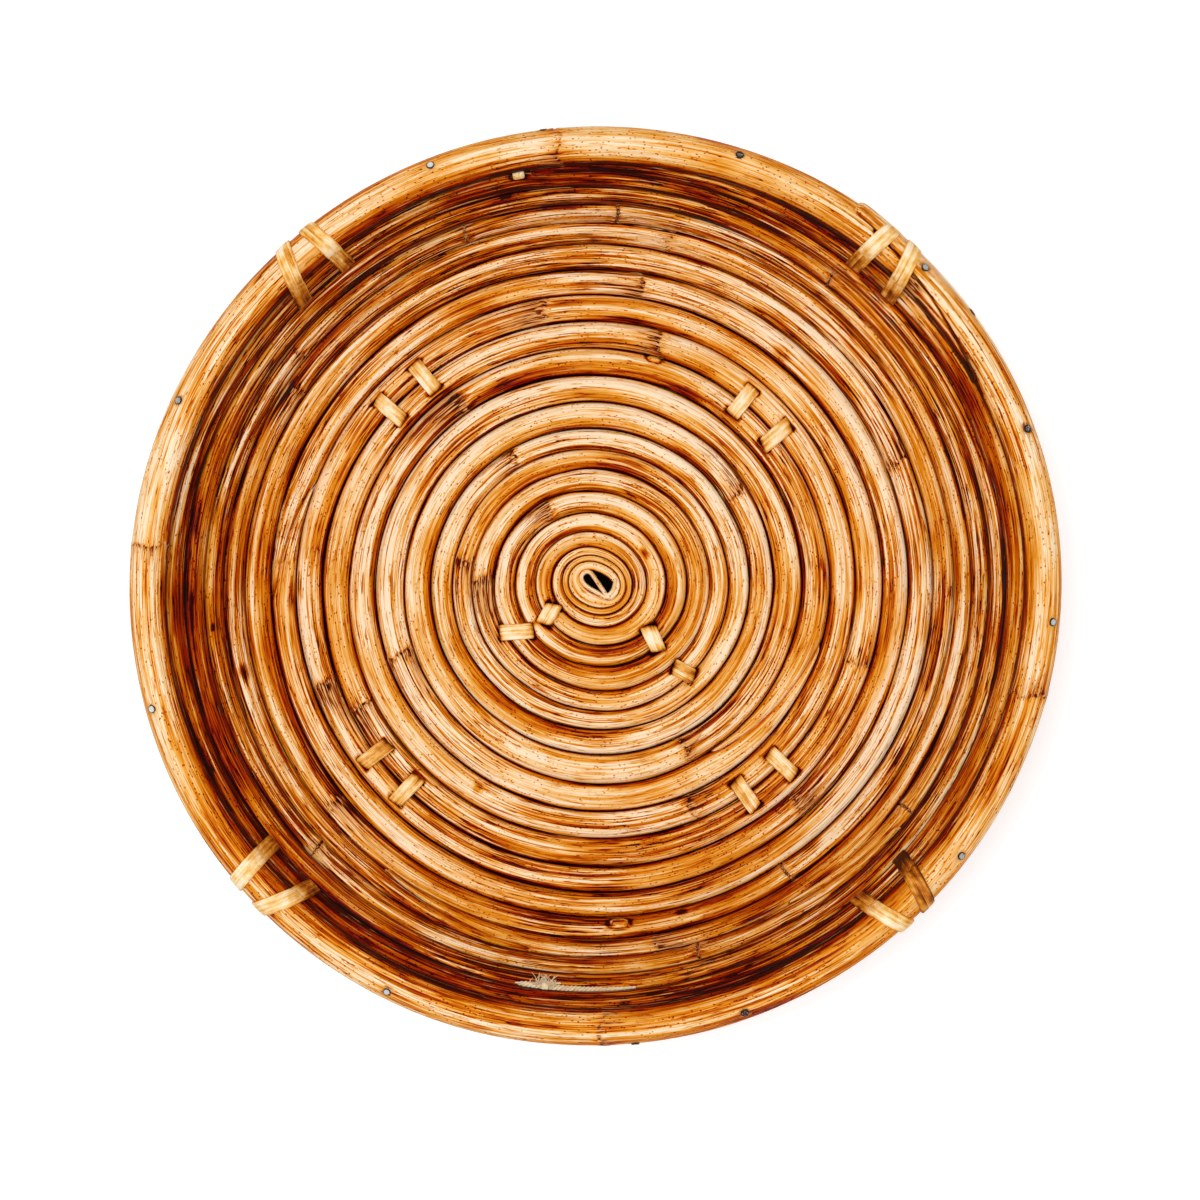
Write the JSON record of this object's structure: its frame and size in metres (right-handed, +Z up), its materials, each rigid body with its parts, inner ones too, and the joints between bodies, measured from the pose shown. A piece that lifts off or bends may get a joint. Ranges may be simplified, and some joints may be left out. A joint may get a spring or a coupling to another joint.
{
  "type": "cane bowl",
  "caption": "Shallow round bowl of coiled cane with a thicker rim cane, flat peel straps through floor and rim, and small rim nails.",
  "frame": {"origin": "on the bowl's axis, in the plane that it stands on", "axes": "+Z up along the bowl's axis, +X and +Y across the mouth"},
  "size_m": [0.2986, 0.2986, 0.058],
  "materials": {
    "cane": "satin varnish over straw and brown cane",
    "strap": "satin peel",
    "nail": "dull",
    "string": "matt twine"
  },
  "bodies": {
    "root": {"inner_cane": "cane", "base_cane": "cane", "wall_cane_lower": "cane", "wall_cane_middle": "cane", "wall_cane_upper": "cane", "rim_cane": "cane", "base_tie_1": "strap", "base_tie_2": "strap", "base_tie_3": "strap", "base_tie_4": "strap", "base_tie_5": "strap", "base_tie_6": "strap", "base_tie_7": "strap", "base_tie_8": "strap", "centre_tie_1": "strap", "centre_tie_2": "strap", "centre_tie_3": "strap", "centre_tie_4": "strap", "rim_tie_1": "strap", "rim_tie_2": "strap", "rim_tie_3": "strap", "rim_tie_4": "strap", "rim_tie_5": "strap", "rim_tie_6": "strap", "rim_tie_7": "strap", "rim_tie_8": "strap", "end_peg": "strap", "rim_nail_1": "nail", "rim_nail_2": "nail", "rim_nail_3": "nail", "rim_nail_4": "nail", "rim_nail_5": "nail", "rim_nail_6": "nail", "rim_nail_7": "nail", "rim_nail_8": "nail", "rim_nail_9": "nail", "rim_nail_10": "nail", "rim_nail_11": "nail", "rim_nail_12": "nail", "rim_nail_13": "nail", "string": "string", "string_knot": "string"}
  },
  "joints": []
}
